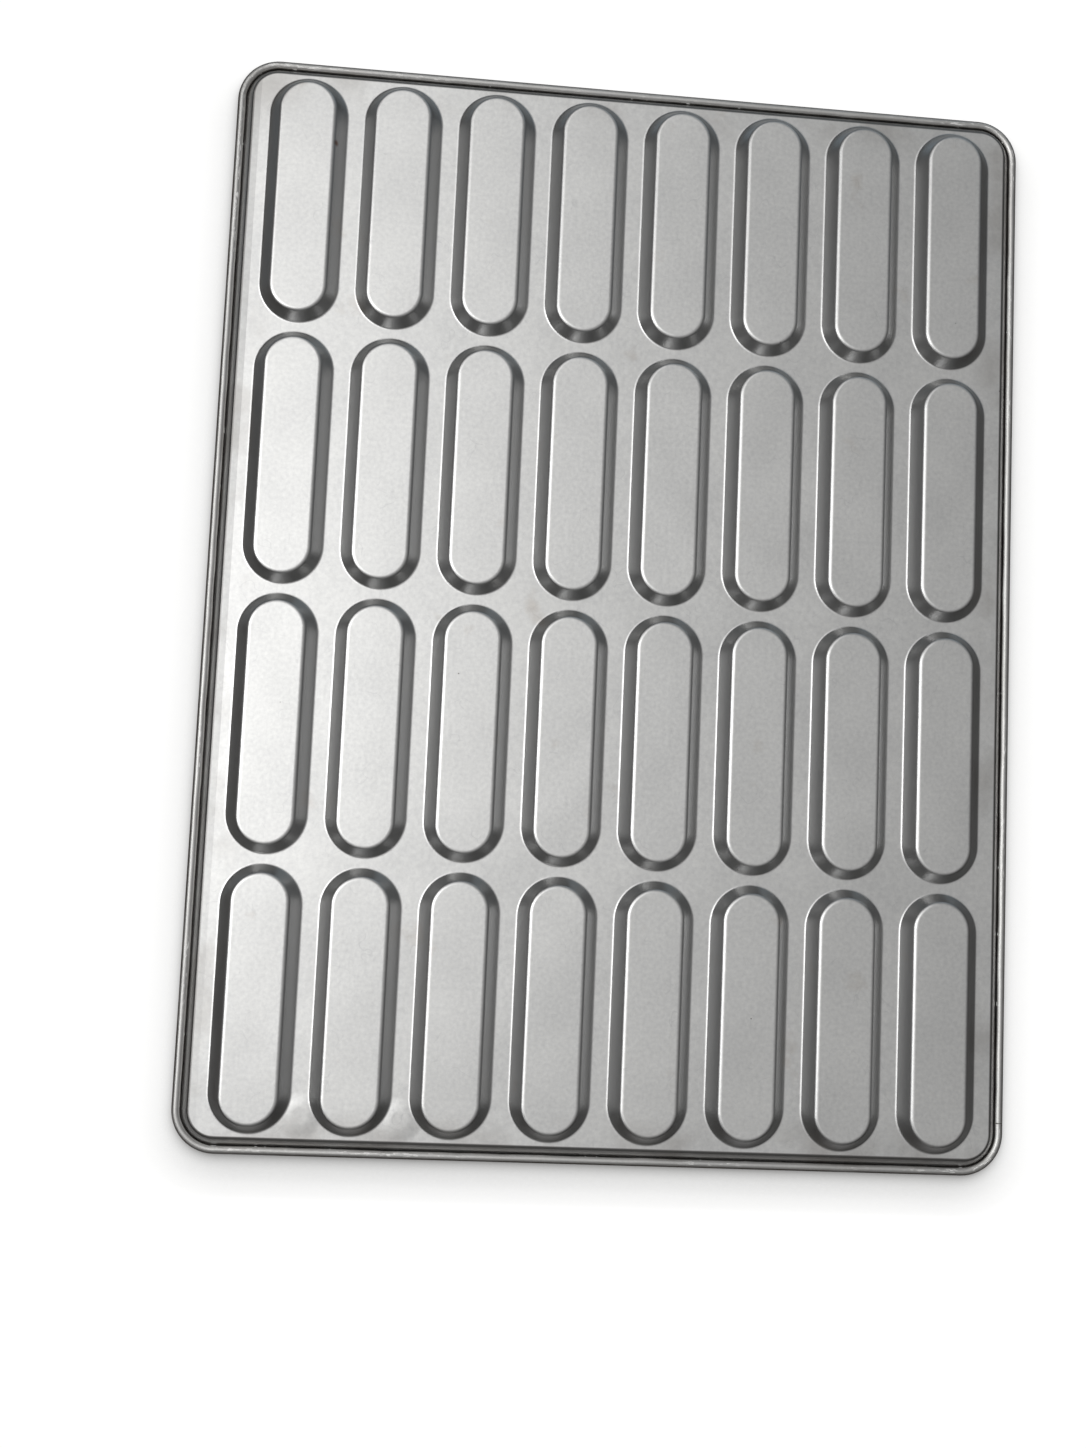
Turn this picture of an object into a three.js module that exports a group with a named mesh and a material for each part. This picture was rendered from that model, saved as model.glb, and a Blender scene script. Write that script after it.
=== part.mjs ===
// Hoagie bun pan: one pressed steel sheet with rows of long bun moulds, its edge curled round a wire.
// Millimetres and degrees, +Z up. The pan stands on its mould floors at z = 0, centred on the Z axis.
// X runs across the moulds and Y along them.
import * as THREE from 'three';

// Moulds, on the sheet's underside, between the lines where deck, wall and floor would cross
const COLUMNS = 8;
const ROWS = 4;
const MOULD_WIDTH = 46.7;
const MOULD_LENGTH = 153;
const MOULD_DEPTH = 8;
const MOULD_WALL_SLOPE = 49.5;
const MOULD_EDGE_BEND = 2;
const MOULD_FLOOR_BEND = 3.5;
const MOULD_END_STRETCH = 1.9; // makes the end walls steeper: the floor reaches this much further at each end

// Deck left flat between neighbouring moulds, and from the outer moulds to the fold of the side wall
const COLUMN_GAP = 10.8;
const ROW_GAP = 6.4;
const SIDE_DECK = 10.9;
const END_DECK = 3.4;

// Sheet, side wall and curled edge
const SHEET = 0.55;
const RIM_FOLD_BEND = 2;
const RIM_WALL_SLOPE = 55;
const RIM_RISE = 6.9; // wire's centre above the deck's underside
const RIM_CORNER = 15.5; // corner radius at the fold
const CURL_TURN = 308;

// Wire inside the curl, with its butt joint in the left side
const WIRE_DIAMETER = 3.6;
const WIRE_CLEARANCE = 0.25;
const WIRE_BUTT_GAP = 0.8;
const WIRE_BUTT_FROM_CORNER = 6; // from where the front left corner turns into the left side

// Facets
const MOULD_END_STEPS = 7;
const CORNER_STEPS = 6;
const BEND_STEPS = 1;
const CURL_STEPS = 10;
const WIRE_SIDES = 10;

const ALUMINIZED_STEEL = { color: 0xc3c4c3, roughness: 0.42, metalness: 0.85 };
const BARE_STEEL = { color: 0x8b8c8c, roughness: 0.5, metalness: 0.9 };

const { degToRad } = THREE.MathUtils;
const mouldSlope = degToRad(MOULD_WALL_SLOPE);
const rimSlope = degToRad(RIM_WALL_SLOPE);
const columnPitch = MOULD_WIDTH + COLUMN_GAP;
const rowPitch = MOULD_LENGTH + ROW_GAP;
const foldHalfWidth = (columnPitch * COLUMNS - COLUMN_GAP) / 2 + SIDE_DECK;
const foldHalfLength = (rowPitch * ROWS - ROW_GAP) / 2 + END_DECK;
const deckHeight = MOULD_DEPTH;

// The side wall's line passes the wire's centre at the curl's inner radius
const curlRadius = WIRE_DIAMETER / 2 + WIRE_CLEARANCE;
const wireOut = (RIM_RISE * Math.cos(rimSlope) + curlRadius) / Math.sin(rimSlope);
const rimWallLength = wireOut * Math.cos(rimSlope) + RIM_RISE * Math.sin(rimSlope);

// Distance from a sharp corner to where a bend of that angle and radius begins
const setback = (angle, radius) => radius * Math.tan(angle / 2);
const mouldEdgeSetback = setback(mouldSlope, MOULD_EDGE_BEND);
const mouldFloorSetback = setback(mouldSlope, MOULD_FLOOR_BEND);
const rimFoldSetback = setback(rimSlope, RIM_FOLD_BEND);

// Follows the underside of a strip of sheet from a level start, and gives points at a lift away from it.
// A positive bend turns the strip upwards.
function bentStrip(moves, lift) {
  let [out, up, heading] = [0, 0, 0];
  const points = [];
  const mark = () => points.push([out - lift * Math.sin(heading), up + lift * Math.cos(heading)]);
  mark();
  for (const { run = 0, bend = 0, radius = 0, steps = 1 } of moves) {
    for (let step = 0; step < steps; step++) {
      const chord = run + 2 * radius * Math.sin(Math.abs(bend) / steps / 2);
      out += chord * Math.cos(heading + bend / steps / 2);
      up += chord * Math.sin(heading + bend / steps / 2);
      heading += bend / steps;
      mark();
    }
  }
  return points;
}

const mouldStrip = [
  { bend: -mouldSlope, radius: MOULD_EDGE_BEND, steps: BEND_STEPS },
  { run: MOULD_DEPTH / Math.sin(mouldSlope) - mouldEdgeSetback - mouldFloorSetback },
  { bend: mouldSlope, radius: MOULD_FLOOR_BEND, steps: BEND_STEPS },
];

const rimStrip = [
  { bend: rimSlope, radius: RIM_FOLD_BEND, steps: BEND_STEPS },
  { run: rimWallLength - rimFoldSetback },
  { bend: -degToRad(CURL_TURN), radius: curlRadius, steps: CURL_STEPS },
];

// Points of an arc with the direction that it faces at each
function arc(x, y, radius, from, to, steps) {
  return Array.from({ length: steps + 1 }, (_, i) => {
    const angle = degToRad(from + ((to - from) * i) / steps);
    const facing = [Math.cos(angle), Math.sin(angle)];
    return { x: x + radius * facing[0], y: y + radius * facing[1], facing };
  });
}

// A mould's round-ended outline where its edge bend begins, anticlockwise, each end moved out by a stretch
function mouldOutline(x, y, stretch) {
  const radius = MOULD_WIDTH / 2 + mouldEdgeSetback;
  const reach = (MOULD_LENGTH - MOULD_WIDTH) / 2 + stretch;
  return [
    ...arc(x, y + reach, radius, 0, 180, MOULD_END_STEPS),
    ...arc(x, y - reach, radius, 180, 360, MOULD_END_STEPS),
  ];
}

// The deck's outline where the fold begins, anticlockwise from the left side's front end
function deckOutline() {
  const radius = RIM_CORNER - rimFoldSetback;
  const x = foldHalfWidth - RIM_CORNER;
  const y = foldHalfLength - RIM_CORNER;
  return [
    ...arc(-x, -y, radius, 180, 270, CORNER_STEPS),
    ...arc(x, -y, radius, 270, 360, CORNER_STEPS),
    ...arc(x, y, radius, 0, 90, CORNER_STEPS),
    ...arc(-x, y, radius, 90, 180, CORNER_STEPS),
  ];
}

const ringAt = (outline, out, z) =>
  outline.map(({ x, y, facing }) => [x + out * facing[0], y + out * facing[1], z]);

// Joins two rings of as many points with a band of triangles
function band(outer, inner, triangles) {
  outer.forEach((corner, i) => {
    const next = (i + 1) % outer.length;
    triangles.push([corner, outer[next], inner[next]], [corner, inner[next], inner[i]]);
  });
}

// Fills a level outline, round any holes, with triangles that face up
function fill(contour, holes, triangles) {
  const flat = (ring) => ring.map(([x, y]) => new THREE.Vector2(x, y));
  const points = [contour, ...holes].flat();
  for (const corners of THREE.ShapeUtils.triangulateShape(flat(contour), holes.map(flat))) {
    const [a, b, c] = corners.map((i) => points[i]);
    const turn = (b[0] - a[0]) * (c[1] - a[1]) - (b[1] - a[1]) * (c[0] - a[0]);
    triangles.push(turn > 0 ? [a, b, c] : [a, c, b]);
  }
}

function geometryOf(triangles) {
  const geometry = new THREE.BufferGeometry();
  geometry.setAttribute('position', new THREE.Float32BufferAttribute(triangles.flat(2), 3));
  geometry.computeVertexNormals();
  return geometry;
}

// One side of the sheet, facing up, and the ring at the raw end of its curl
function sheetSide(lift) {
  const triangles = [];
  const mouldPoints = bentStrip(mouldStrip, lift);
  const holes = [];
  for (let row = 0; row < ROWS; row++) {
    for (let column = 0; column < COLUMNS; column++) {
      const x = (column - (COLUMNS - 1) / 2) * columnPitch;
      const y = (row - (ROWS - 1) / 2) * rowPitch;
      const rings = mouldPoints.map(([inward, up]) => {
        const stretch = (MOULD_END_STRETCH * (lift - up)) / MOULD_DEPTH;
        return ringAt(mouldOutline(x, y, stretch), -inward, deckHeight + up);
      });
      rings.slice(1).forEach((ring, i) => band(rings[i], ring, triangles));
      fill(rings.at(-1), [], triangles);
      holes.push(rings[0]);
    }
  }
  const outline = deckOutline();
  const rings = bentStrip(rimStrip, lift).map(([out, up]) => ringAt(outline, out, deckHeight + up));
  rings.slice(1).forEach((ring, i) => band(ring, rings[i], triangles));
  fill(rings[0], holes, triangles);
  return { triangles, rawEdge: rings.at(-1) };
}

function panSheet() {
  const upper = sheetSide(SHEET);
  const under = sheetSide(0);
  const edge = [];
  band(under.rawEdge, upper.rawEdge, edge);
  return geometryOf([
    ...upper.triangles,
    ...under.triangles.map(([a, b, c]) => [a, c, b]),
    ...edge,
  ]);
}

// Sections of the wire from one side of its butt joint round the rim to the other
function wireSections() {
  const outline = deckOutline();
  const corner = outline[0];
  const buttAt = corner.y + WIRE_BUTT_FROM_CORNER;
  const path = [
    { ...corner, y: buttAt - WIRE_BUTT_GAP / 2 },
    ...outline,
    { ...corner, y: buttAt + WIRE_BUTT_GAP / 2 },
  ];
  const centreOut = wireOut + rimFoldSetback;
  return path.map(({ x, y, facing }) =>
    Array.from({ length: WIRE_SIDES }, (_, i) => {
      const angle = (2 * Math.PI * i) / WIRE_SIDES;
      const out = centreOut + (WIRE_DIAMETER / 2) * Math.cos(angle);
      const up = RIM_RISE + (WIRE_DIAMETER / 2) * Math.sin(angle);
      return [x + out * facing[0], y + out * facing[1], deckHeight + up];
    }),
  );
}

function rimWire() {
  const sections = wireSections();
  const triangles = [];
  sections.slice(1).forEach((section, i) => band(section, sections[i], triangles));
  const [first, last] = [sections[0], sections.at(-1)];
  for (let i = 2; i < WIRE_SIDES; i++) {
    triangles.push([first[0], first[i - 1], first[i]], [last[0], last[i], last[i - 1]]);
  }
  return geometryOf(triangles);
}

function piece(name, geometry, finish) {
  const mesh = new THREE.Mesh(geometry, new THREE.MeshStandardMaterial(finish));
  mesh.name = name;
  return mesh;
}

const pan = new THREE.Group();
pan.add(piece('pan_sheet', panSheet(), ALUMINIZED_STEEL));
pan.add(piece('rim_wire', rimWire(), BARE_STEEL));

export default pan;
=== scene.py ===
"""A hoagie bun pan: one pressed steel sheet with rows of long moulds, its edge curled round a wire.

The pan stands on its mould floors, as in use. The photograph shows it from beneath, so the camera looks
up at it.
"""
import math

import bmesh
import bpy
from mathutils import Matrix, Vector


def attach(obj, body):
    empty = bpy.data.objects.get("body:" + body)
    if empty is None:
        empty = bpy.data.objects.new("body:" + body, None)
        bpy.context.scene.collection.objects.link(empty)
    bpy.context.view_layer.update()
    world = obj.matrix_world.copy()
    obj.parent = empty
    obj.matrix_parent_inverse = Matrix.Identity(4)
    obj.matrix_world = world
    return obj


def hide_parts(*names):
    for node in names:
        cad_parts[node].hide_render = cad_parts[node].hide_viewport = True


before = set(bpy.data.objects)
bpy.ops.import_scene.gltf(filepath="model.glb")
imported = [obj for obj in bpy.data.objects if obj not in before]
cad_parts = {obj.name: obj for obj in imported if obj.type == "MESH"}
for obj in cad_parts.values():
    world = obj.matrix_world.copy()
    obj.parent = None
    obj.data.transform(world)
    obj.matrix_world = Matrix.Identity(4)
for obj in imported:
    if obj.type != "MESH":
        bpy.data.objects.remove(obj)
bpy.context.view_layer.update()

MM = 0.001

# Moulds, on the sheet's underside, between the lines where deck, wall and floor would cross
COLUMNS, ROWS = 8, 4
MOULD_WIDTH = 46.7 * MM
MOULD_LENGTH = 153 * MM
MOULD_DEPTH = 8 * MM
MOULD_WALL_SLOPE = math.radians(49.5)
MOULD_EDGE_BEND = 2 * MM
MOULD_FLOOR_BEND = 3.5 * MM
MOULD_END_STRETCH = 1.9 * MM

# Deck left flat between neighbouring moulds, and from the outer moulds to the fold of the side wall
COLUMN_GAP = 10.8 * MM
ROW_GAP = 6.4 * MM
SIDE_DECK = 10.9 * MM
END_DECK = 3.4 * MM

# Sheet, side wall, curled edge and the wire in it
SHEET = 0.55 * MM
RIM_FOLD_BEND = 2 * MM
RIM_WALL_SLOPE = math.radians(55)
RIM_RISE = 6.9 * MM
RIM_CORNER = 15.5 * MM
CURL_TURN = math.radians(308)
WIRE_DIAMETER = 3.6 * MM
WIRE_CLEARANCE = 0.25 * MM
WIRE_BUTT_GAP = 0.8 * MM
WIRE_BUTT_FROM_CORNER = 6 * MM

# How the raw edge wanders: its span, its pattern and the share of the rim's section from which it sets in
RAW_EDGE_WANDER = 1.4 * MM
RAW_EDGE_PATTERN = {"Scale": 55.0, "Detail": 3.0, "Roughness": 0.6}
RAW_EDGE_FROM = 0.8

# Marks of use, in millimetres: across, along and reach, with a full core of this share
SPOT_CORE = 0.3
RUBBED_SPOTS = ((212, 327, 48), (-222, -324, 42), (-236, 306, 30), (243, 250, 60))
SMUDGED_SPOTS = ((230, 317, 38), (181, 323, 20))
RUST_SPOTS = ((183.4, 273.6, 2.4),)
RUST_HEIGHT = 1.5 * MM
DENTS = ((172, -305, 14), (115, -306, 14))

# Where the bead's outer side has painted shade, where it is rubbed and where raw, in degrees of its turn:
# rising from, full, falling from, gone
SHADED_FLANK_TURN = (61, 121, 194, 215)
RUBBED_TURN = (212, 230, 263, 275)
RAW_TURN = (285, 293)

# The turn within which the side wall's look gives way to the bead's
CURL_BLEND = 35

# Where the rim's section is darkened at the fold with painted shade, in shares of its length, in the same
# order
FOLD_SHADE_SPAN = (0.01, 0.03, 0.10, 0.14)

# The strip inside the fold where the painted shade begins and where it is full
SHADED_STRIP = (-22 * MM, -6 * MM)

# The crease across the bead, from the wire's joint: where it is full and where it is gone
CREASE = (0.1 * MM, 0.4 * MM)

# The deck's lean beside one fold: the strip's width, its slopes, and the shares of the length where they hold
LEAN_WIDTH = 4.8 * MM
LEAN_SLOPE = (0.015, 0.07)
LEAN_ALONG = (-0.5, 0.25)

# Steepness of a section's line where the sheet begins to count as drawn and where it is fully so
MOULD_DRAWN = (0.1, 0.6)
RIM_DRAWN = (0.0, 0.15)

# Patterns of the finishes: fineness and detail
GRAIN = (430.0, 3.0)
PEEL = (300.0, 1.0)
WAVES = (19.0, 1.0)
CLOUDS = (22.0, 3.0)
BLOTS = (27.0, 4.0)
HAIR_SWING = (70.0, 1.0)
WIRE_LINES = (900.0, 3.0)
WIRE_DUSTING = (60.0, 4.0)

# Patches of a pattern: fineness, detail, the values where they begin and are full, their least and most
STAINS = (31.0, 4.0, 0.66, 0.80, 0.0, 1.0)
HAIR_PATCHES = (60.0, 1.0, 0.57, 0.64, 0.0, 1.0)
WORN_PATCHES = (16.0, 1.0, 0.52, 0.62, 0.0, 0.8)
# Patches of the painted shade on the bead's outer side
FLANK_SHADE_PATCHES = (45.0, 3.0, 0.25, 0.5, 0.7, 1.0)
# Patches of the painted glints on the bead's raw edge
RAW_EDGE_GLINTS = (260.0, 1.0, 0.70, 0.76, 0.0, 0.7)

# Values of the blots where the painted shade beside the fold begins and is full, and the least and most of
# the smudges at the smudged spots
STRIP_SHADE_SHOWN = (0.48, 0.66)
HANDLED_SHOWN = (0.2, 0.6, 0.5, 1.2)

# Lines along the bead: fineness across it and along it, and the values where scuffs begin and are full
ROLLED_LINES = (46.0, 14.0)
SCUFF_LINES = (34.0, 210.0)
SCUFF_SHOWN = (0.55, 0.62)

# Hair lines between the cells of a pattern: fineness, where a line is full and gone, and how far it swings
HAIR_CELLS = 55.0
HAIR_WIDTH = (0.006, 0.014)
HAIR_REACH = 20 * MM

# Specks in the cells of a pattern: fineness, where a speck is full and gone, and which cells have one
SPECK_CELLS = 46.0
SPECK_SIZE = (0.012, 0.024)
SPECK_CHOSEN = (0.62, 0.7)

# Values of the wire's dusting where dust begins to show and is full
WIRE_DUST_SHOWN = (0.5, 0.75)

# Relief of the finishes
GRAIN_RELIEF = 0.014 * MM
PEEL_RELIEF = 0.026 * MM
WAVE_RELIEF = 0.3 * MM
ROLLED_RELIEF = 0.04 * MM
DENT_RELIEF = 0.45 * MM
WIRE_RELIEF = 0.012 * MM

# Colours of the finishes
COAT_DULL = (0.55, 0.55, 0.545, 1)
COAT_BRIGHT = (0.70, 0.697, 0.682, 1)
# Darker coat colour where the sheet is steep, on the walls
COAT_STEEP = (0.41, 0.41, 0.408, 1)
BEAD_GREY = (0.40, 0.393, 0.38, 1)
STAIN_BROWN = (0.36, 0.29, 0.22, 1)
# Painted shade beside the fold, also the smudges at the smudged spots
SMUDGE_AND_SHADE_GREY = (0.34, 0.32, 0.30, 1)
# Painted shade in the rim's fold
FOLD_SHADE_GREY = (0.14, 0.135, 0.13, 1)
RUST_BROWN = (0.16, 0.075, 0.045, 1)
# Painted shade on the bead's outer side, also the dark of the crease over the wire's joint
SHADE_AND_CREASE_BLACK = (0.045, 0.036, 0.030, 1)
RAW_DARK = (0.08, 0.075, 0.07, 1)
# Bright scuffs on the bead's crest, also painted glints on its raw edge
SCUFF_AND_GLINT_WHITE = (0.92, 0.91, 0.89, 1)
SPECK_GREY = (0.16, 0.15, 0.14, 1)
WIRE_GREY = (0.22, 0.215, 0.21, 1)
WIRE_DUST = (0.12, 0.09, 0.07, 1)

# Fineness of the mesh
FLAT_MARGIN = 0.4 * MM
MERGE_WITHIN = 0.05 * MM
BEND_STEPS = 5
CURL_STEPS = 16
MOULD_END_STEPS = 18
CORNER_STEPS = 14
SIDE_CUTS = 90
WIRE_SIDES = 16
SHARP_FROM = math.radians(50)

# The camera, beneath the pan and a little to one side
CAMERA_EYE = Vector((120.2, -167.2, -921.8)) * MM
CAMERA_AIM = Vector((41.9, -72.3, 8.0)) * MM
CAMERA_ROLL = math.radians(2.52)
CAMERA_LENS = 39.19
CAMERA_SENSOR = 36.0

# The room's own light under the pan, level with its rim and over it, and the heights between which it turns
ROOM_UNDER = (0.07, 0.07, 0.07, 1)
ROOM_LEVEL = (0.03, 0.025, 0.022, 1)
ROOM_OVER = (0.45, 0.45, 0.45, 1)
UNDER_TO_LEVEL = (-0.12, 0.0)
LEVEL_TO_OVER = (0.2, 0.55)

# Glows along the horizon: direction to the photograph's left and up, sharpness and colour
HORIZON = (
    (1.0, 0.0, 6, (0.07, 0.07, 0.07)),
    (-1.0, 0.0, 6, (0.10, 0.10, 0.10)),
    (0.0, 1.0, 8, (0.12, 0.14, 0.16)),
    (-0.50, 0.87, 10, (0.24, 0.30, 0.35)),
    (0.0, -1.0, 18, (0.50, 0.50, 0.49)),
)

# The heights between which these glows fade, and what is left of them over that
HORIZON_FADE = (-0.12, 0.02)
HORIZON_OVER = 0.1

# The table's own glow beyond the rim, at the photograph's top, and the heights between which it shows
TABLE_SHINE = (0.45, 0.89, 6, (0.38, 0.48, 0.56))
SHINE_HEIGHTS = (0.0, 0.06, 0.2, 0.4)

# Soft boxes: brightness, tint, slopes to the photograph's left and up, width and height
SOFT_BOXES = (
    (4.80, (1.0, 1.0, 1.0), 0.58, 0.11, 0.33, 0.22),
    (2.20, (1.0, 1.0, 1.0), 0.80, 0.15, 0.25, 0.80),
    (0.45, (0.78, 0.92, 1.0), -1.10, 2.20, 0.60, 0.80),
    (0.42, (1.0, 1.0, 1.0), -0.23, 0.01, 1.00, 1.27),
    (0.95, (1.0, 1.0, 1.0), 0.12, 0.70, 0.22, 1.06),
)

# The boxes' share over the pan, the heights between which it sets in, and the least height for their slopes
OVER_SHARE = 0.6
UNDER_TO_OVER = (-0.05, 0.05)
LEAST_DEPTH = 0.02

# The stage: white sheets just clear of the pan, their own light, and the shadow on them, partly painted
SHEET_WHITE = (0.25, 0.247, 0.24, 1)
SHEET_REACH = 15.0
SHEET_CLEARANCE = 0.1 * MM
DOME_RADIUS = 18.0
TABLE_GLOW = 0.86
TABLE_LIT_FROM = (0.0, 0.8, -0.6)
FLOOR_GLOW = 0.87
FLOOR_LIT_FROM = (0.0, 0.0, 1.0)
SHADOW_REACH = 26 * MM
SHADOW_DEPTH = 1.7
SHADOW_SAMPLES = 16


def setback(angle, radius):
    """Distance from a sharp corner to where a bend of that angle and radius begins."""
    return radius * math.tan(angle / 2)


CURL_RADIUS = WIRE_DIAMETER / 2 + WIRE_CLEARANCE
WIRE_OUT = (RIM_RISE * math.cos(RIM_WALL_SLOPE) + CURL_RADIUS) / math.sin(RIM_WALL_SLOPE)
RIM_WALL = WIRE_OUT * math.cos(RIM_WALL_SLOPE) + RIM_RISE * math.sin(RIM_WALL_SLOPE)
EDGE_SETBACK = setback(MOULD_WALL_SLOPE, MOULD_EDGE_BEND)
FLOOR_SETBACK = setback(MOULD_WALL_SLOPE, MOULD_FLOOR_BEND)
FOLD_SETBACK = setback(RIM_WALL_SLOPE, RIM_FOLD_BEND)
COLUMN_PITCH = MOULD_WIDTH + COLUMN_GAP
ROW_PITCH = MOULD_LENGTH + ROW_GAP
FOLD_WIDTH = COLUMN_PITCH * COLUMNS - COLUMN_GAP + 2 * SIDE_DECK
FOLD_LENGTH = ROW_PITCH * ROWS - ROW_GAP + 2 * END_DECK
RIM_TOP = MOULD_DEPTH + RIM_RISE + CURL_RADIUS + SHEET
BEFORE_CURL = FLAT_MARGIN + RIM_FOLD_BEND * RIM_WALL_SLOPE + RIM_WALL - FOLD_SETBACK
CURL_FROM = BEFORE_CURL / (BEFORE_CURL + CURL_RADIUS * CURL_TURN)
WIRE_BUTT = WIRE_BUTT_FROM_CORNER + RIM_CORNER - FOLD_LENGTH / 2


class Nodes:
    """A node tree that is built node by node."""

    def __init__(self, group):
        self.group = group

    def add(self, kind, inputs=None, output=0, **settings):
        """Adds a node, sets or links its inputs by name or number, and returns one output."""
        node = self.group.nodes.new(kind)
        for name, value in settings.items():
            setattr(node, name, value)
        for name, value in (inputs or {}).items():
            for source in value if isinstance(value, list) else [value]:
                if isinstance(source, bpy.types.NodeSocket):
                    self.group.links.new(source, node.inputs[name])
                else:
                    node.inputs[name].default_value = source
        return node.outputs[output]

    def math(self, operation, *values):
        return self.add("ShaderNodeMath", dict(enumerate(values)), operation=operation)

    def product(self, first, *others):
        for other in others:
            first = self.math("MULTIPLY", first, other)
        return first

    def fit(self, value, low, high, to_low=0.0, to_high=1.0, smooth=False):
        """Maps a value from one range to another, held at the ends."""
        ends = {"Value": value, "From Min": low, "From Max": high, "To Min": to_low, "To Max": to_high}
        return self.add("ShaderNodeMapRange", ends, interpolation_type="SMOOTHSTEP" if smooth else "LINEAR")

    def window(self, value, start, full, falling, end):
        """Rises from 0 to 1 between the first two values, and falls again between the last two."""
        return self.product(self.fit(value, start, full), self.fit(value, falling, end, 1.0, 0.0))

    def axes(self, vector):
        """The three parts of a vector, by name."""
        return self.add("ShaderNodeSeparateXYZ", {0: vector}).node.outputs

    def blend(self, share, first, second):
        """One colour turning into another."""
        return self.add("ShaderNodeMix", {0: share, 6: first, 7: second}, output=2, data_type="RGBA")


class Tree(Nodes):
    """A Geometry Nodes tree with named inputs for its sizes."""

    SOCKETS = {float: "Float", int: "Int", bpy.types.Object: "Object", bpy.types.Material: "Material"}

    def __init__(self, name, sizes):
        super().__init__(bpy.data.node_groups.new(name, "GeometryNodeTree"))
        self.sizes = sizes
        new_socket = self.group.interface.new_socket
        new_socket("Geometry", in_out="OUTPUT", socket_type="NodeSocketGeometry")
        self.sockets = {}
        for label, value in sizes.items():
            kind = "NodeSocket" + self.SOCKETS[type(value)]
            self.sockets[label] = new_socket(label, in_out="INPUT", socket_type=kind).identifier
        self.given = self.group.nodes.new("NodeGroupInput").outputs

    def line(self, label):
        """The line of edges that is one of the tree's inputs, as a curve."""
        shown = self.add("GeometryNodeObjectInfo", {"Object": self.given[label]}, output="Geometry")
        return self.add("GeometryNodeMeshToCurve", {"Mesh": shown})

    def outline(self, width, length, radius, steps):
        """A level rectangle with round corners."""
        corners = self.add("GeometryNodeCurvePrimitiveQuadrilateral", {"Width": width, "Height": length})
        rounding = {"Curve": corners, "Radius": radius, "Count": steps}
        return self.add("GeometryNodeFilletCurve", rounding, mode="POLY")

    def steepness(self):
        """How steeply a section's line runs at each point."""
        return self.math("ABSOLUTE", self.axes(self.add("GeometryNodeInputTangent"))["Y"])

    def stored(self, geometry, name, value, kind="FLOAT"):
        """Keeps a value on each point."""
        labels = {"Geometry": geometry, "Name": name, "Value": value}
        return self.add("GeometryNodeStoreNamedAttribute", labels, data_type=kind, domain="POINT")

    def kept(self, name, kind="FLOAT"):
        """A value that was kept on each point."""
        return self.add("GeometryNodeInputNamedAttribute", {"Name": name}, data_type=kind)

    def moved(self, geometry, **offset):
        shift = self.add("ShaderNodeCombineXYZ", offset)
        return self.add("GeometryNodeSetPosition", {"Geometry": geometry, "Offset": shift})

    def finish(self, geometry):
        """Ends the tree with realized geometry in the tree's own material."""
        real = self.add("GeometryNodeRealizeInstances", {"Geometry": geometry})
        smooth = self.add("GeometryNodeSetShadeSmooth", {"Geometry": real})
        look = {"Geometry": smooth, "Material": self.given["Material"]}
        dressed = self.add("GeometryNodeSetMaterial", look)
        end = self.group.nodes.new("NodeGroupOutput")
        self.group.links.new(dressed, end.inputs["Geometry"])

    def grow(self, name):
        """Runs the tree with its sizes, removes the lines it was given, and returns a plain mesh object."""
        grower = bpy.data.objects.new(name, bpy.data.meshes.new(name))
        bpy.context.scene.collection.objects.link(grower)
        modifier = grower.modifiers.new("grow", "NODES")
        modifier.node_group = self.group
        for label, value in self.sizes.items():
            modifier[self.sockets[label]] = value
        depsgraph = bpy.context.evaluated_depsgraph_get()
        mesh = bpy.data.meshes.new_from_object(grower.evaluated_get(depsgraph))
        grower.modifiers.remove(modifier)
        grower.data = mesh
        mesh.name = name
        for value in self.sizes.values():
            if isinstance(value, bpy.types.Object):
                bpy.data.objects.remove(value)
        return grower


def edge_line(name, points):
    """A row of points joined by edges, for a tree to sweep."""
    mesh = bpy.data.meshes.new(name)
    mesh.from_pydata(points, [(i, i + 1) for i in range(len(points) - 1)], [])
    line = bpy.data.objects.new(name, mesh)
    bpy.context.scene.collection.objects.link(line)
    return line


def bent_strip(moves):
    """Walks the underside of a strip of sheet from a level start, and gives its points, outward and up.

    Each move is a straight run, or a bend with its radius and steps. A positive bend turns upwards.
    """
    out, up, heading = 0.0, 0.0, 0.0
    points = [(out, up)]
    for run, bend, radius, steps in moves:
        for _ in range(steps):
            chord = run + 2 * radius * math.sin(abs(bend) / steps / 2)
            out += chord * math.cos(heading + bend / steps / 2)
            up += chord * math.sin(heading + bend / steps / 2)
            heading += bend / steps
            points.append((out, up))
    return points


def mould_section():
    wall = MOULD_DEPTH / math.sin(MOULD_WALL_SLOPE) - EDGE_SETBACK - FLOOR_SETBACK
    points = bent_strip([
        (FLAT_MARGIN, 0, 0, 1),
        (0, -MOULD_WALL_SLOPE, MOULD_EDGE_BEND, BEND_STEPS),
        (wall, 0, 0, 1),
        (0, MOULD_WALL_SLOPE, MOULD_FLOOR_BEND, BEND_STEPS),
        (FLAT_MARGIN, 0, 0, 1),
    ])
    return edge_line("mould_section", [(-inward, -up, 0) for inward, up in points])


def rim_section():
    points = bent_strip([
        (FLAT_MARGIN, 0, 0, 1),
        (0, RIM_WALL_SLOPE, RIM_FOLD_BEND, BEND_STEPS),
        (RIM_WALL - FOLD_SETBACK, 0, 0, 1),
        (0, -CURL_TURN, CURL_RADIUS, CURL_STEPS),
    ])
    return edge_line("rim_section", [(out, -up, 0) for out, up in points])


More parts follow.
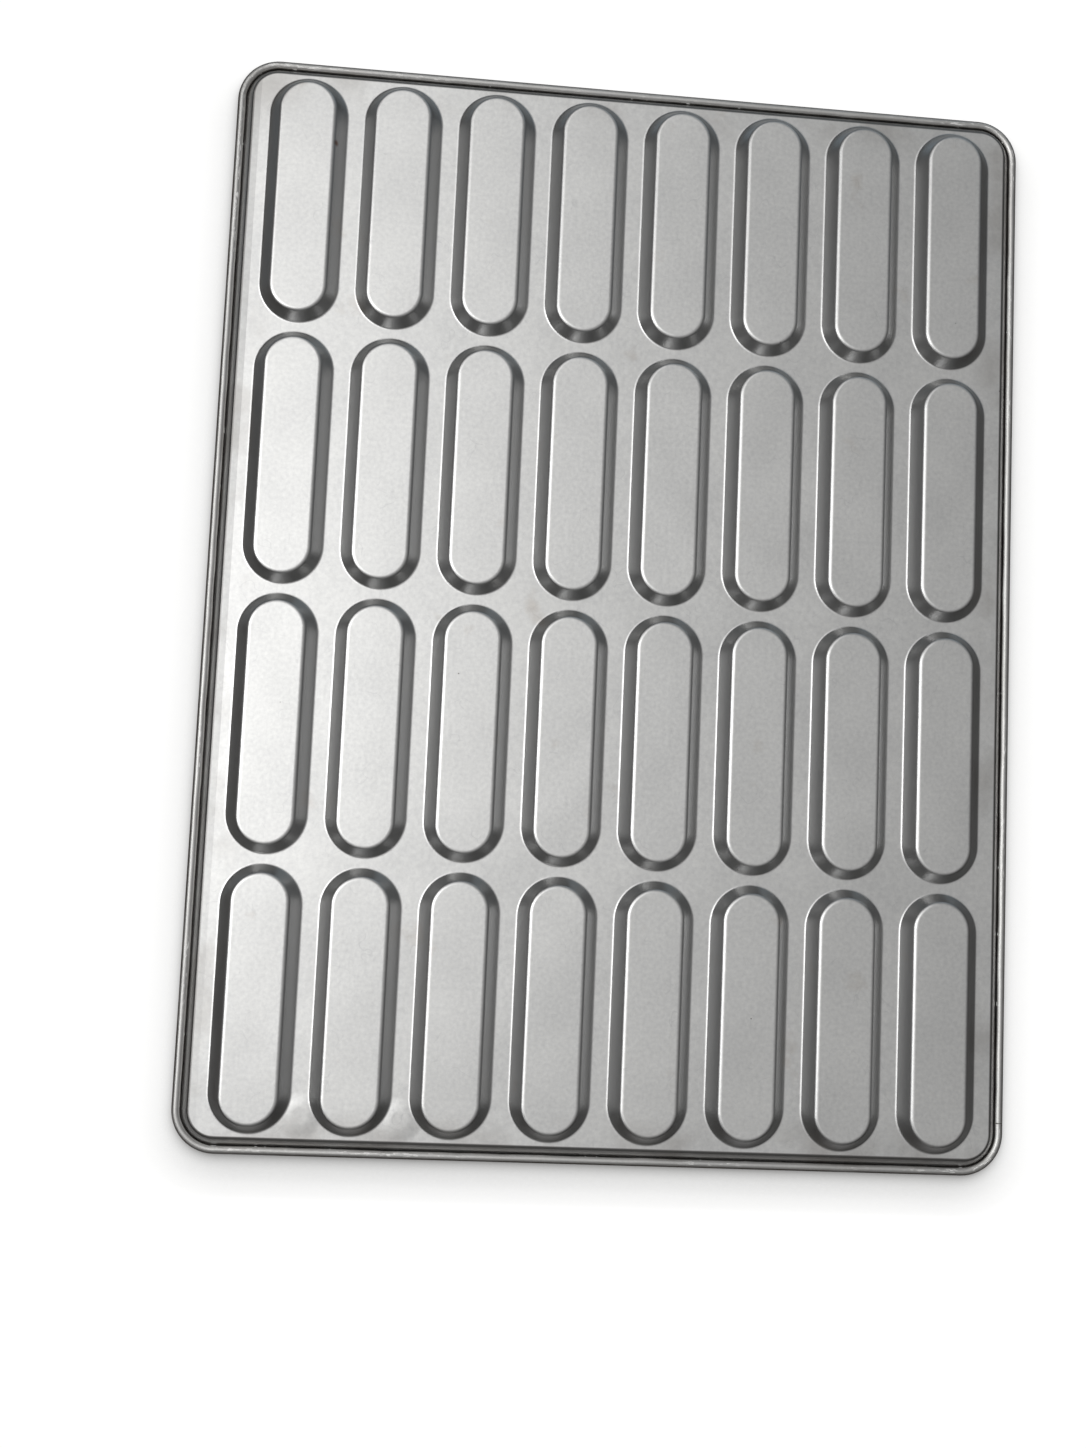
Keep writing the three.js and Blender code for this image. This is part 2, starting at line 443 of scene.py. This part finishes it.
def mould_walls(tree):
    """The moulds' walls: one mould swept round its outline, made steeper at its ends and set out on a grid.

    The value drawn says how far the sheet was drawn into a wall at each point.
    """
    add, given = tree.add, tree.given
    half_width = tree.product(given["Mould Width"], 0.5)
    path = tree.outline(given["Mould Width"], given["Mould Length"], half_width, given["Mould End Steps"])
    path = add("GeometryNodeCurveToMesh", {"Curve": path})
    path = add("GeometryNodeMergeByDistance", {"Geometry": path, "Distance": MERGE_WITHIN})
    path = add("GeometryNodeMeshToCurve", {"Mesh": path})
    line = tree.stored(tree.line("Mould Section"), "drawn", tree.fit(tree.steepness(), *MOULD_DRAWN))
    mould = add("GeometryNodeCurveToMesh", {"Curve": path, "Profile Curve": line})
    spot = tree.axes(add("GeometryNodeInputPosition"))
    sunk = tree.math("DIVIDE", spot["Z"], tree.product(given["Mould Depth"], -1.0))
    stretch = tree.product(tree.math("SIGN", spot["Y"]), given["Mould End Stretch"])
    mould = tree.moved(mould, Y=tree.product(sunk, stretch))

    def span(count, pitch):
        return tree.product(tree.math("SUBTRACT", count, 1.0), pitch)

    places = add("GeometryNodeMeshGrid", {
        "Size X": span(given["Columns"], given["Column Pitch"]),
        "Size Y": span(given["Rows"], given["Row Pitch"]),
        "Vertices X": given["Columns"],
        "Vertices Y": given["Rows"],
    })
    moulds = add("GeometryNodeInstanceOnPoints", {"Points": places, "Instance": mould})
    return add("GeometryNodeRealizeInstances", {"Geometry": moulds})


def rim_walls(tree):
    """The side walls and curl, with a raw edge that wanders a little in and out.

    The value along runs from 0 at the deck to 1 at the raw edge.
    """
    add, given = tree.add, tree.given
    width, length = given["Fold Width"], given["Fold Length"]
    path = tree.outline(width, length, given["Fold Corner"], given["Corner Steps"])
    corner_points = tree.math("ADD", given["Corner Steps"], 1.0)
    place_in_corner = tree.math("MODULO", add("GeometryNodeInputIndex"), corner_points)
    ends_corner = tree.math("COMPARE", place_in_corner, given["Corner Steps"], 0.5)
    cuts = tree.product(ends_corner, given["Side Cuts"])
    path = add("GeometryNodeSubdivideCurve", {"Curve": path, "Cuts": cuts})
    path = tree.stored(path, "facing", add("GeometryNodeInputNormal"), "FLOAT_VECTOR")

    along = add("GeometryNodeSplineParameter", output="Factor")
    before_curl = tree.math("LESS_THAN", along, given["Curl From"])
    drawn = tree.product(tree.fit(tree.steepness(), *RIM_DRAWN), before_curl)
    line = tree.stored(tree.line("Rim Section"), "drawn", drawn)
    line = tree.stored(line, "along", along)
    rim = add("GeometryNodeCurveToMesh", {"Curve": path, "Profile Curve": line})

    wander = tree.math("SUBTRACT", add("ShaderNodeTexNoise", RAW_EDGE_PATTERN), 0.5)
    near_edge = tree.fit(tree.kept("along"), RAW_EDGE_FROM, 1.0)
    wander = tree.product(wander, given["Raw Edge Wander"], near_edge)
    facing = tree.kept("facing", "FLOAT_VECTOR")
    shift = add("ShaderNodeVectorMath", {0: facing, "Scale": wander}, operation="SCALE")
    return add("GeometryNodeSetPosition", {"Geometry": rim, "Offset": shift})


def level_part(tree, bends, level):
    """A level part of the sheet, filled between the open edges of the bends at its height."""
    open_edge = tree.math("COMPARE", tree.add("GeometryNodeInputMeshEdgeNeighbors"), 1.0, 0.5)
    height = tree.axes(tree.add("GeometryNodeInputPosition"))["Z"]
    there = tree.product(open_edge, tree.math("COMPARE", height, level, MERGE_WITHIN))
    edges = tree.add("GeometryNodeMeshToCurve", {"Mesh": bends, "Selection": there})
    flat = tree.add("GeometryNodeFillCurve", {"Curve": edges}, mode="TRIANGLES")
    return tree.moved(flat, Z=level)


def sheet_tree(finish):
    """The sheet's underside: the moulds, the rim, and the level deck and floors between them."""
    tree = Tree("pan_underside", {
        "Mould Section": mould_section(),
        "Mould Width": MOULD_WIDTH + 2 * (EDGE_SETBACK + FLAT_MARGIN),
        "Mould Length": MOULD_LENGTH + 2 * (EDGE_SETBACK + FLAT_MARGIN),
        "Mould Depth": MOULD_DEPTH,
        "Mould End Stretch": MOULD_END_STRETCH,
        "Mould End Steps": MOULD_END_STEPS,
        "Columns": COLUMNS,
        "Rows": ROWS,
        "Column Pitch": COLUMN_PITCH,
        "Row Pitch": ROW_PITCH,
        "Rim Section": rim_section(),
        "Curl From": CURL_FROM,
        "Fold Width": FOLD_WIDTH - 2 * (FOLD_SETBACK + FLAT_MARGIN),
        "Fold Length": FOLD_LENGTH - 2 * (FOLD_SETBACK + FLAT_MARGIN),
        "Fold Corner": RIM_CORNER - FOLD_SETBACK - FLAT_MARGIN,
        "Corner Steps": CORNER_STEPS,
        "Side Cuts": SIDE_CUTS,
        "Raw Edge Wander": RAW_EDGE_WANDER,
        "Material": finish,
    })
    bends = tree.add("GeometryNodeJoinGeometry", {"Geometry": [mould_walls(tree), rim_walls(tree)]})
    floor_level = tree.product(tree.given["Mould Depth"], -1.0)
    level_parts = [level_part(tree, bends, level) for level in (0.0, floor_level)]
    whole = tree.add("GeometryNodeJoinGeometry", {"Geometry": [bends, *level_parts]})
    whole = tree.add("GeometryNodeMergeByDistance", {"Geometry": whole, "Distance": MERGE_WITHIN})
    tree.finish(tree.moved(whole, Z=tree.given["Mould Depth"]))
    return tree


def thicken(piece):
    """Turns the sheet's underside outwards and gives it the sheet's thickness above."""
    work = bmesh.new()
    work.from_mesh(piece.data)
    bmesh.ops.remove_doubles(work, verts=work.verts, dist=MERGE_WITHIN)
    bmesh.ops.recalc_face_normals(work, faces=work.faces)
    lowest = min(work.faces, key=lambda face: face.calc_center_median().z)
    if lowest.normal.z > 0:
        bmesh.ops.reverse_faces(work, faces=work.faces)
    work.to_mesh(piece.data)
    work.free()
    shell = piece.modifiers.new("sheet", "SOLIDIFY")
    shell.thickness = SHEET
    shell.offset = -1
    shell.use_even_offset = True
    mesh = bpy.data.meshes.new_from_object(piece.evaluated_get(bpy.context.evaluated_depsgraph_get()))
    piece.modifiers.remove(shell)
    piece.data = mesh
    mesh.name = piece.name
    mesh.set_sharp_from_angle(angle=SHARP_FROM)


def wire_path():
    """The wire's middle line, from one side of the butt joint round the rim to the other."""
    radius = RIM_CORNER + WIRE_OUT
    reach_x, reach_y = FOLD_WIDTH / 2 - RIM_CORNER, FOLD_LENGTH / 2 - RIM_CORNER
    points = []
    for turn, (across, along) in enumerate(((-1, -1), (1, -1), (1, 1), (-1, 1))):
        for step in range(CORNER_STEPS + 1):
            angle = math.pi + (turn + step / CORNER_STEPS) * math.pi / 2
            x = across * reach_x + radius * math.cos(angle)
            y = along * reach_y + radius * math.sin(angle)
            points.append((x, y))
    side = points[0][0]
    points = [(side, WIRE_BUTT - WIRE_BUTT_GAP / 2), *points, (side, WIRE_BUTT + WIRE_BUTT_GAP / 2)]
    return edge_line("wire_path", [(x, y, MOULD_DEPTH + RIM_RISE) for x, y in points])


def wire_tree(finish):
    """The wire in the curl: a round rod along the rim's middle line, open at its butt joint."""
    tree = Tree("rim_wire", {
        "Path": wire_path(), "Diameter": WIRE_DIAMETER, "Sides": WIRE_SIDES, "Material": finish,
    })
    radius = tree.product(tree.given["Diameter"], 0.5)
    ring = tree.add("GeometryNodeCurvePrimitiveCircle", {"Resolution": tree.given["Sides"], "Radius": radius})
    sweep = {"Curve": tree.line("Path"), "Profile Curve": ring, "Fill Caps": True}
    tree.finish(tree.add("GeometryNodeCurveToMesh", sweep))
    return tree


class Finish(Nodes):
    """A finish in shader nodes, on the piece's own coordinates."""

    def __init__(self, name):
        self.material = bpy.data.materials.new(name)
        self.material.use_nodes = True
        super().__init__(self.material.node_tree)
        self.shader = self.group.nodes["Principled BSDF"]
        self.place = self.add("ShaderNodeTexCoord", output="Object")

    def attribute(self, name):
        """A value that the piece's mesh holds."""
        return self.add("ShaderNodeAttribute", output="Fac", attribute_name=name)

    def noise(self, scale, detail, vector=None):
        spot = self.place if vector is None else vector
        pattern = {"Vector": spot, "Scale": scale, "Detail": detail}
        return self.add("ShaderNodeTexNoise", pattern, output="Fac")

    def patches(self, scale, detail, start, full, least, most):
        """Patches where a noise is strong."""
        return self.fit(self.noise(scale, detail), start, full, least, most)

    def near(self, spots, height):
        """How near any of the spots is, from 0 at its reach to 1."""
        nearest = 0.0
        for across, along, reach in spots:
            spot = (across * MM, along * MM, height)
            away = self.add("ShaderNodeVectorMath", {0: self.place, 1: spot}, "Value", operation="DISTANCE")
            share = self.fit(away, SPOT_CORE * reach * MM, reach * MM, 1.0, 0.0)
            nearest = self.math("MAXIMUM", nearest, share)
        return nearest

    def total(self, *values):
        """The sum of values, each with its weight."""
        whole = 0.0
        for value, weight in values:
            whole = self.math("MULTIPLY_ADD", value, weight, whole)
        return whole

    def give(self, label, value):
        """Links a value to one of the shader's inputs."""
        self.group.links.new(value, self.shader.inputs[label])

    def raise_up(self, height):
        """Sets the surface's relief, in metres."""
        self.give("Normal", self.add("ShaderNodeBump", {"Strength": 1.0, "Distance": 1.0, "Height": height}))

    def show(self, surface):
        """Shows another shader instead of the usual one."""
        self.group.nodes.remove(self.shader)
        self.group.links.new(surface, self.group.nodes["Material Output"].inputs["Surface"])


class CoatedSteel(Finish):
    """The sheet's finish, with its marks as shares of how strongly each shows."""

    def __init__(self, name):
        super().__init__(name)
        self.spot = self.axes(self.place)
        self.along = self.attribute("along")
        self.turned = self.fit(self.along, CURL_FROM, 1.0, 0.0, math.degrees(CURL_TURN))
        self.on_curl = self.fit(self.turned, 0.0, CURL_BLEND)
        self.raw = self.fit(self.turned, *RAW_TURN)

    def along_bead(self, across, lengthwise):
        """Coordinates that draw a pattern out along the bead."""
        return self.add("ShaderNodeCombineXYZ", {
            "X": self.product(self.along, across),
            "Y": self.product(self.spot["X"], lengthwise),
            "Z": self.product(self.spot["Y"], lengthwise),
        })

    def hairs(self):
        """Hair lines left by handling, in short curved pieces."""
        swing = self.noise(*HAIR_SWING).node.outputs["Color"]
        bent = {0: swing, 1: (HAIR_REACH, HAIR_REACH, HAIR_REACH), 2: self.place}
        bent = self.add("ShaderNodeVectorMath", bent, operation="MULTIPLY_ADD")
        cells = {"Vector": bent, "Scale": HAIR_CELLS}
        edges = self.add("ShaderNodeTexVoronoi", cells, feature="DISTANCE_TO_EDGE")
        return self.product(self.fit(edges, *HAIR_WIDTH, 1.0, 0.0), self.patches(*HAIR_PATCHES))

    def rolled_lines(self):
        """Fine lines along the curl, where it was rolled, lighter and darker than the rest."""
        lines = self.noise(1.0, 3.0, self.along_bead(*ROLLED_LINES))
        return self.product(self.math("SUBTRACT", lines, 0.5), self.on_curl)

    def scuffs_and_glints(self):
        """Bright scuffs along the bead's crest, where it slides on racks, and painted glints on the raw edge.
        """
        worn = self.math("MAXIMUM", self.patches(*WORN_PATCHES), self.near(RUBBED_SPOTS, RIM_TOP))
        streaks = self.fit(self.noise(1.0, 2.0, self.along_bead(*SCUFF_LINES)), *SCUFF_SHOWN)
        rubbed = self.product(streaks, worn, self.window(self.turned, *RUBBED_TURN))
        # painted glints on the raw edge
        glints = self.product(self.patches(*RAW_EDGE_GLINTS), self.raw)
        return self.math("MAXIMUM", rubbed, glints)

    def flank_shade_and_crease(self):
        """Painted shade round the bead's outer side, and a crease across it over the wire's joint."""
        # painted shade round the bead's outer side
        shaded_flank = self.product(self.window(self.turned, *SHADED_FLANK_TURN), self.patches(*FLANK_SHADE_PATCHES))
        from_joint = self.math("ABSOLUTE", self.math("SUBTRACT", self.spot["Y"], WIRE_BUTT))
        joint_side = self.math("LESS_THAN", self.spot["X"], 0.0)
        crease = self.product(self.fit(from_joint, *CREASE, 1.0, 0.0), self.on_curl, joint_side)
        return self.math("MAXIMUM", shaded_flank, crease)

    def smudges_and_shade(self):
        """Painted shade in blotches beside the fold, and smudges from hands round the smudged spots."""
        blots = self.noise(*BLOTS)
        past_x = self.math("SUBTRACT", self.math("ABSOLUTE", self.spot["X"]), FOLD_WIDTH / 2)
        past_y = self.math("SUBTRACT", self.math("ABSOLUTE", self.spot["Y"]), FOLD_LENGTH / 2)
        near_fold = self.fit(self.math("MAXIMUM", past_x, past_y), *SHADED_STRIP)
        # painted shade in blotches beside the fold
        shade_beside_fold = self.product(self.fit(blots, *STRIP_SHADE_SHOWN), near_fold)
        handled = self.product(self.near(SMUDGED_SPOTS, MOULD_DEPTH), self.fit(blots, *HANDLED_SHOWN))
        return self.math("MAXIMUM", shade_beside_fold, handled)

    def specks(self):
        """Dark specks in the coating."""
        cells = {"Vector": self.place, "Scale": SPECK_CELLS}
        from_middle = self.add("ShaderNodeTexVoronoi", cells, output="Distance")
        chosen = self.fit(from_middle.node.outputs["Color"], *SPECK_CHOSEN)
        return self.product(self.fit(from_middle, *SPECK_SIZE, 1.0, 0.0), chosen)

    def lean(self):
        """Height of the deck where it leans a little in a strip beside the fold."""
        past_fold = self.math("SUBTRACT", self.spot["X"], FOLD_WIDTH / 2)
        in_strip = self.math("MAXIMUM", self.math("MINIMUM", past_fold, 0.0), -LEAN_WIDTH)
        front, back = [share * FOLD_LENGTH for share in LEAN_ALONG]
        slope = self.fit(self.spot["Y"], front, back, *LEAN_SLOPE)
        return self.product(in_strip, slope)


def aluminized_steel():
    """Satin aluminized sheet: a fine peel in the coating, faint waves, cloudy patches, marks of use, and
    painted shade and glints at the fold and rim.
    """
    steel = CoatedSteel("aluminized_steel")
    grain, peel, waves, clouds = [steel.noise(*pattern) for pattern in (GRAIN, PEEL, WAVES, CLOUDS)]
    drawn = steel.attribute("drawn")
    rolled = steel.rolled_lines()
    flank_shade_and_crease = steel.flank_shade_and_crease()
    scuffs_and_glints = steel.scuffs_and_glints()

    tone = steel.total((clouds, 0.9), (grain, 1.4), (rolled, 1.4), (steel.hairs(), -0.35), (-0.65, 1.0))
    metal = steel.blend(tone, COAT_DULL, COAT_BRIGHT)
    for share, strength, colour in (
        # the coat is darker where the sheet is steep
        (drawn, 1.0, COAT_STEEP),
        (steel.patches(*STAINS), 0.35, STAIN_BROWN),
        # painted shade beside the fold, and smudges at the smudged spots
        (steel.smudges_and_shade(), 0.40, SMUDGE_AND_SHADE_GREY),
        # painted shade in the rim's fold
        (steel.window(steel.along, *FOLD_SHADE_SPAN), 0.75, FOLD_SHADE_GREY),
        (steel.near(RUST_SPOTS, RUST_HEIGHT), 0.75, RUST_BROWN),
        (steel.on_curl, 0.6, BEAD_GREY),
        # painted shade on the bead's outer side, and the crease over the wire's joint
        (flank_shade_and_crease, 1.0, SHADE_AND_CREASE_BLACK),
        (steel.raw, 1.0, RAW_DARK),
        # bright scuffs, and painted glints on the raw edge
        (scuffs_and_glints, 1.0, SCUFF_AND_GLINT_WHITE),
        (steel.specks(), 1.0, SPECK_GREY),
    ):
        metal = steel.blend(steel.product(share, strength), metal, colour)
    steel.give("Base Color", metal)
    # the painted shade on the bead, its crease, its scuffs and the painted glints on the raw edge are not
    # metal
    steel.give("Metallic", steel.math("SUBTRACT", 1.0, steel.math("MAXIMUM", scuffs_and_glints, flank_shade_and_crease)))

    steel.give("Roughness", steel.total(
        (clouds, 0.03), (grain, 0.03), (rolled, 0.2), (drawn, 0.04),
        (steel.on_curl, 0.12), (flank_shade_and_crease, 0.3), (0.275, 1.0),
    ))
    dents = steel.fit(steel.near(DENTS, MOULD_DEPTH), 0.0, 1.0, smooth=True)
    steel.raise_up(steel.total(
        (grain, GRAIN_RELIEF), (peel, PEEL_RELIEF), (waves, WAVE_RELIEF),
        (rolled, ROLLED_RELIEF), (steel.lean(), 1.0), (dents, DENT_RELIEF),
    ))
    return steel.material


def steel_wire():
    """Plain drawn wire, grey, with draw lines and a little rust dust."""
    wire = Finish("steel_wire")
    draw_lines = wire.noise(*WIRE_LINES)
    dusty = wire.noise(*WIRE_DUSTING)
    wire.give("Base Color", wire.blend(wire.fit(dusty, *WIRE_DUST_SHOWN), WIRE_GREY, WIRE_DUST))
    wire.shader.inputs["Metallic"].default_value = 1.0
    wire.give("Roughness", wire.total((draw_lines, 0.2), (dusty, 0.2), (0.22, 1.0)))
    wire.raise_up(wire.total((draw_lines, WIRE_RELIEF)))
    return wire.material


def white_sheet(name, level, facing, own_light, lit_from):
    """A white sheet for the camera alone, seen only from the side it faces, that takes the pan's shadow,
    deepened by a painted shadow in its glow.
    """
    finish = Finish(name)
    add = finish.add
    paper = add("ShaderNodeBsdfDiffuse", {"Color": SHEET_WHITE})
    towards_light = add("ShaderNodeCombineXYZ", dict(enumerate(lit_from)))
    # Painted shadow: ambient occlusion about the direction lit_from dims the sheet's glow near the pan
    shade = {"Distance": SHADOW_REACH, "Normal": towards_light}
    clear = add("ShaderNodeAmbientOcclusion", shade, output="AO", samples=SHADOW_SAMPLES)
    clear = finish.product(finish.math("POWER", clear, SHADOW_DEPTH), own_light)
    glow = add("ShaderNodeEmission", {"Color": (1, 1, 1, 1), "Strength": clear})
    face = add("ShaderNodeAddShader", {0: paper, 1: glow})
    back = add("ShaderNodeNewGeometry", output="Backfacing")
    finish.show(add("ShaderNodeMixShader", {0: back, 1: face, 2: add("ShaderNodeBsdfTransparent")}))
    signs = ((-1, -1), (1, -1), (1, 1), (-1, 1))
    corners = [(across * SHEET_REACH, along * SHEET_REACH, level) for across, along in signs]
    mesh = bpy.data.meshes.new(name)
    mesh.from_pydata(corners, [], [(0, 1, 2, 3) if facing > 0 else (3, 2, 1, 0)])
    mesh.materials.append(finish.material)
    set_stage(bpy.data.objects.new(name, mesh))


def white_dome():
    """A white dome behind everything, for the camera alone."""
    finish = Finish("white_dome")
    finish.show(finish.add("ShaderNodeEmission", {"Color": (1, 1, 1, 1), "Strength": 1.0}))
    mesh = bpy.data.meshes.new("white_dome")
    ball = bmesh.new()
    bmesh.ops.create_uvsphere(ball, u_segments=24, v_segments=12, radius=DOME_RADIUS)
    ball.to_mesh(mesh)
    ball.free()
    mesh.materials.append(finish.material)
    set_stage(bpy.data.objects.new("white_dome", mesh))


def set_stage(thing):
    """Puts a thing on the stage that only the camera sees, so it neither lights the pan nor shades it."""
    bpy.context.scene.collection.objects.link(thing)
    thing.visible_diffuse = False
    thing.visible_glossy = False
    thing.visible_transmission = False
    thing.visible_volume_scatter = False
    thing.visible_shadow = False


def studio_light():
    """Soft light from a few broad boxes under the pan, and the same over it, in a dim room."""
    world = bpy.data.worlds.new("studio")
    world.use_nodes = True
    room = Nodes(world.node_tree)
    way = room.axes(room.add("ShaderNodeTexCoord", output="Generated"))
    depth = room.math("MAXIMUM", room.math("ABSOLUTE", way["Z"]), LEAST_DEPTH)
    left = room.math("DIVIDE", way["X"], depth)
    up = room.math("DIVIDE", way["Y"], depth)

    def falloff(slope, middle, reach):
        share = room.math("DIVIDE", room.math("SUBTRACT", slope, middle), reach)
        return room.math("POWER", room.math("ABSOLUTE", share), 2.0)

    def lit(light, glow, colour):
        return room.add("ShaderNodeVectorMath", {0: glow, 1: colour, 2: light}, operation="MULTIPLY_ADD")

    light = room.blend(room.fit(way["Z"], *UNDER_TO_LEVEL), ROOM_UNDER, ROOM_LEVEL)
    light = room.blend(room.fit(way["Z"], *LEVEL_TO_OVER), light, ROOM_OVER)
    below = room.fit(way["Z"], *HORIZON_FADE, 1.0, HORIZON_OVER)
    beyond = room.window(way["Z"], *SHINE_HEIGHTS)
    glows = [(*glow, below) for glow in HORIZON] + [(*TABLE_SHINE, beyond)]
    for to_left, to_up, sharpness, colour, height in glows:
        towards = room.math("MULTIPLY_ADD", way["Y"], to_up, room.product(way["X"], to_left))
        glow = room.math("POWER", room.math("MAXIMUM", towards, 0.0), sharpness)
        light = lit(light, room.product(glow, height), colour)
    side_share = room.fit(way["Z"], *UNDER_TO_OVER, 1.0, OVER_SHARE)
    for brightness, tint, to_left, to_up, width, height in SOFT_BOXES:
        spread = room.math("ADD", falloff(left, to_left, width), falloff(up, to_up, height))
        glow = room.math("EXPONENT", room.product(spread, -1.0))
        colour = tuple(brightness * channel for channel in tint)
        light = lit(light, room.product(glow, side_share), colour)
    room.group.links.new(light, room.group.nodes["Background"].inputs["Color"])
    bpy.context.scene.world = world


def make_camera():
    """The camera at the photograph's place, turned a little about its own line of sight."""
    data = bpy.data.cameras.new("camera")
    data.lens = CAMERA_LENS
    data.sensor_width = CAMERA_SENSOR
    camera = bpy.data.objects.new("camera", data)
    bpy.context.scene.collection.objects.link(camera)
    forward = (CAMERA_AIM - CAMERA_EYE).normalized()
    level = forward.cross(Vector((0, 1, 0))).normalized()
    upward = level.cross(forward)
    right = level * math.cos(CAMERA_ROLL) + upward * math.sin(CAMERA_ROLL)
    above = upward * math.cos(CAMERA_ROLL) - level * math.sin(CAMERA_ROLL)
    turn = Matrix((right, above, -forward)).transposed()
    camera.matrix_world = Matrix.Translation(CAMERA_EYE) @ turn.to_4x4()
    bpy.context.scene.camera = camera


sheet = sheet_tree(aluminized_steel()).grow("pressed_sheet")
thicken(sheet)
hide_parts("pan_sheet")
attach(sheet, "root")

wire = wire_tree(steel_wire()).grow("curl_wire")
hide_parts("rim_wire")
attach(wire, "root")

make_camera()
studio_light()
white_sheet("table", RIM_TOP + SHEET_CLEARANCE, -1, TABLE_GLOW, TABLE_LIT_FROM)
white_sheet("floor", -SHEET_CLEARANCE, 1, FLOOR_GLOW, FLOOR_LIT_FROM)
white_dome()
bpy.context.scene.view_settings.view_transform = "Standard"
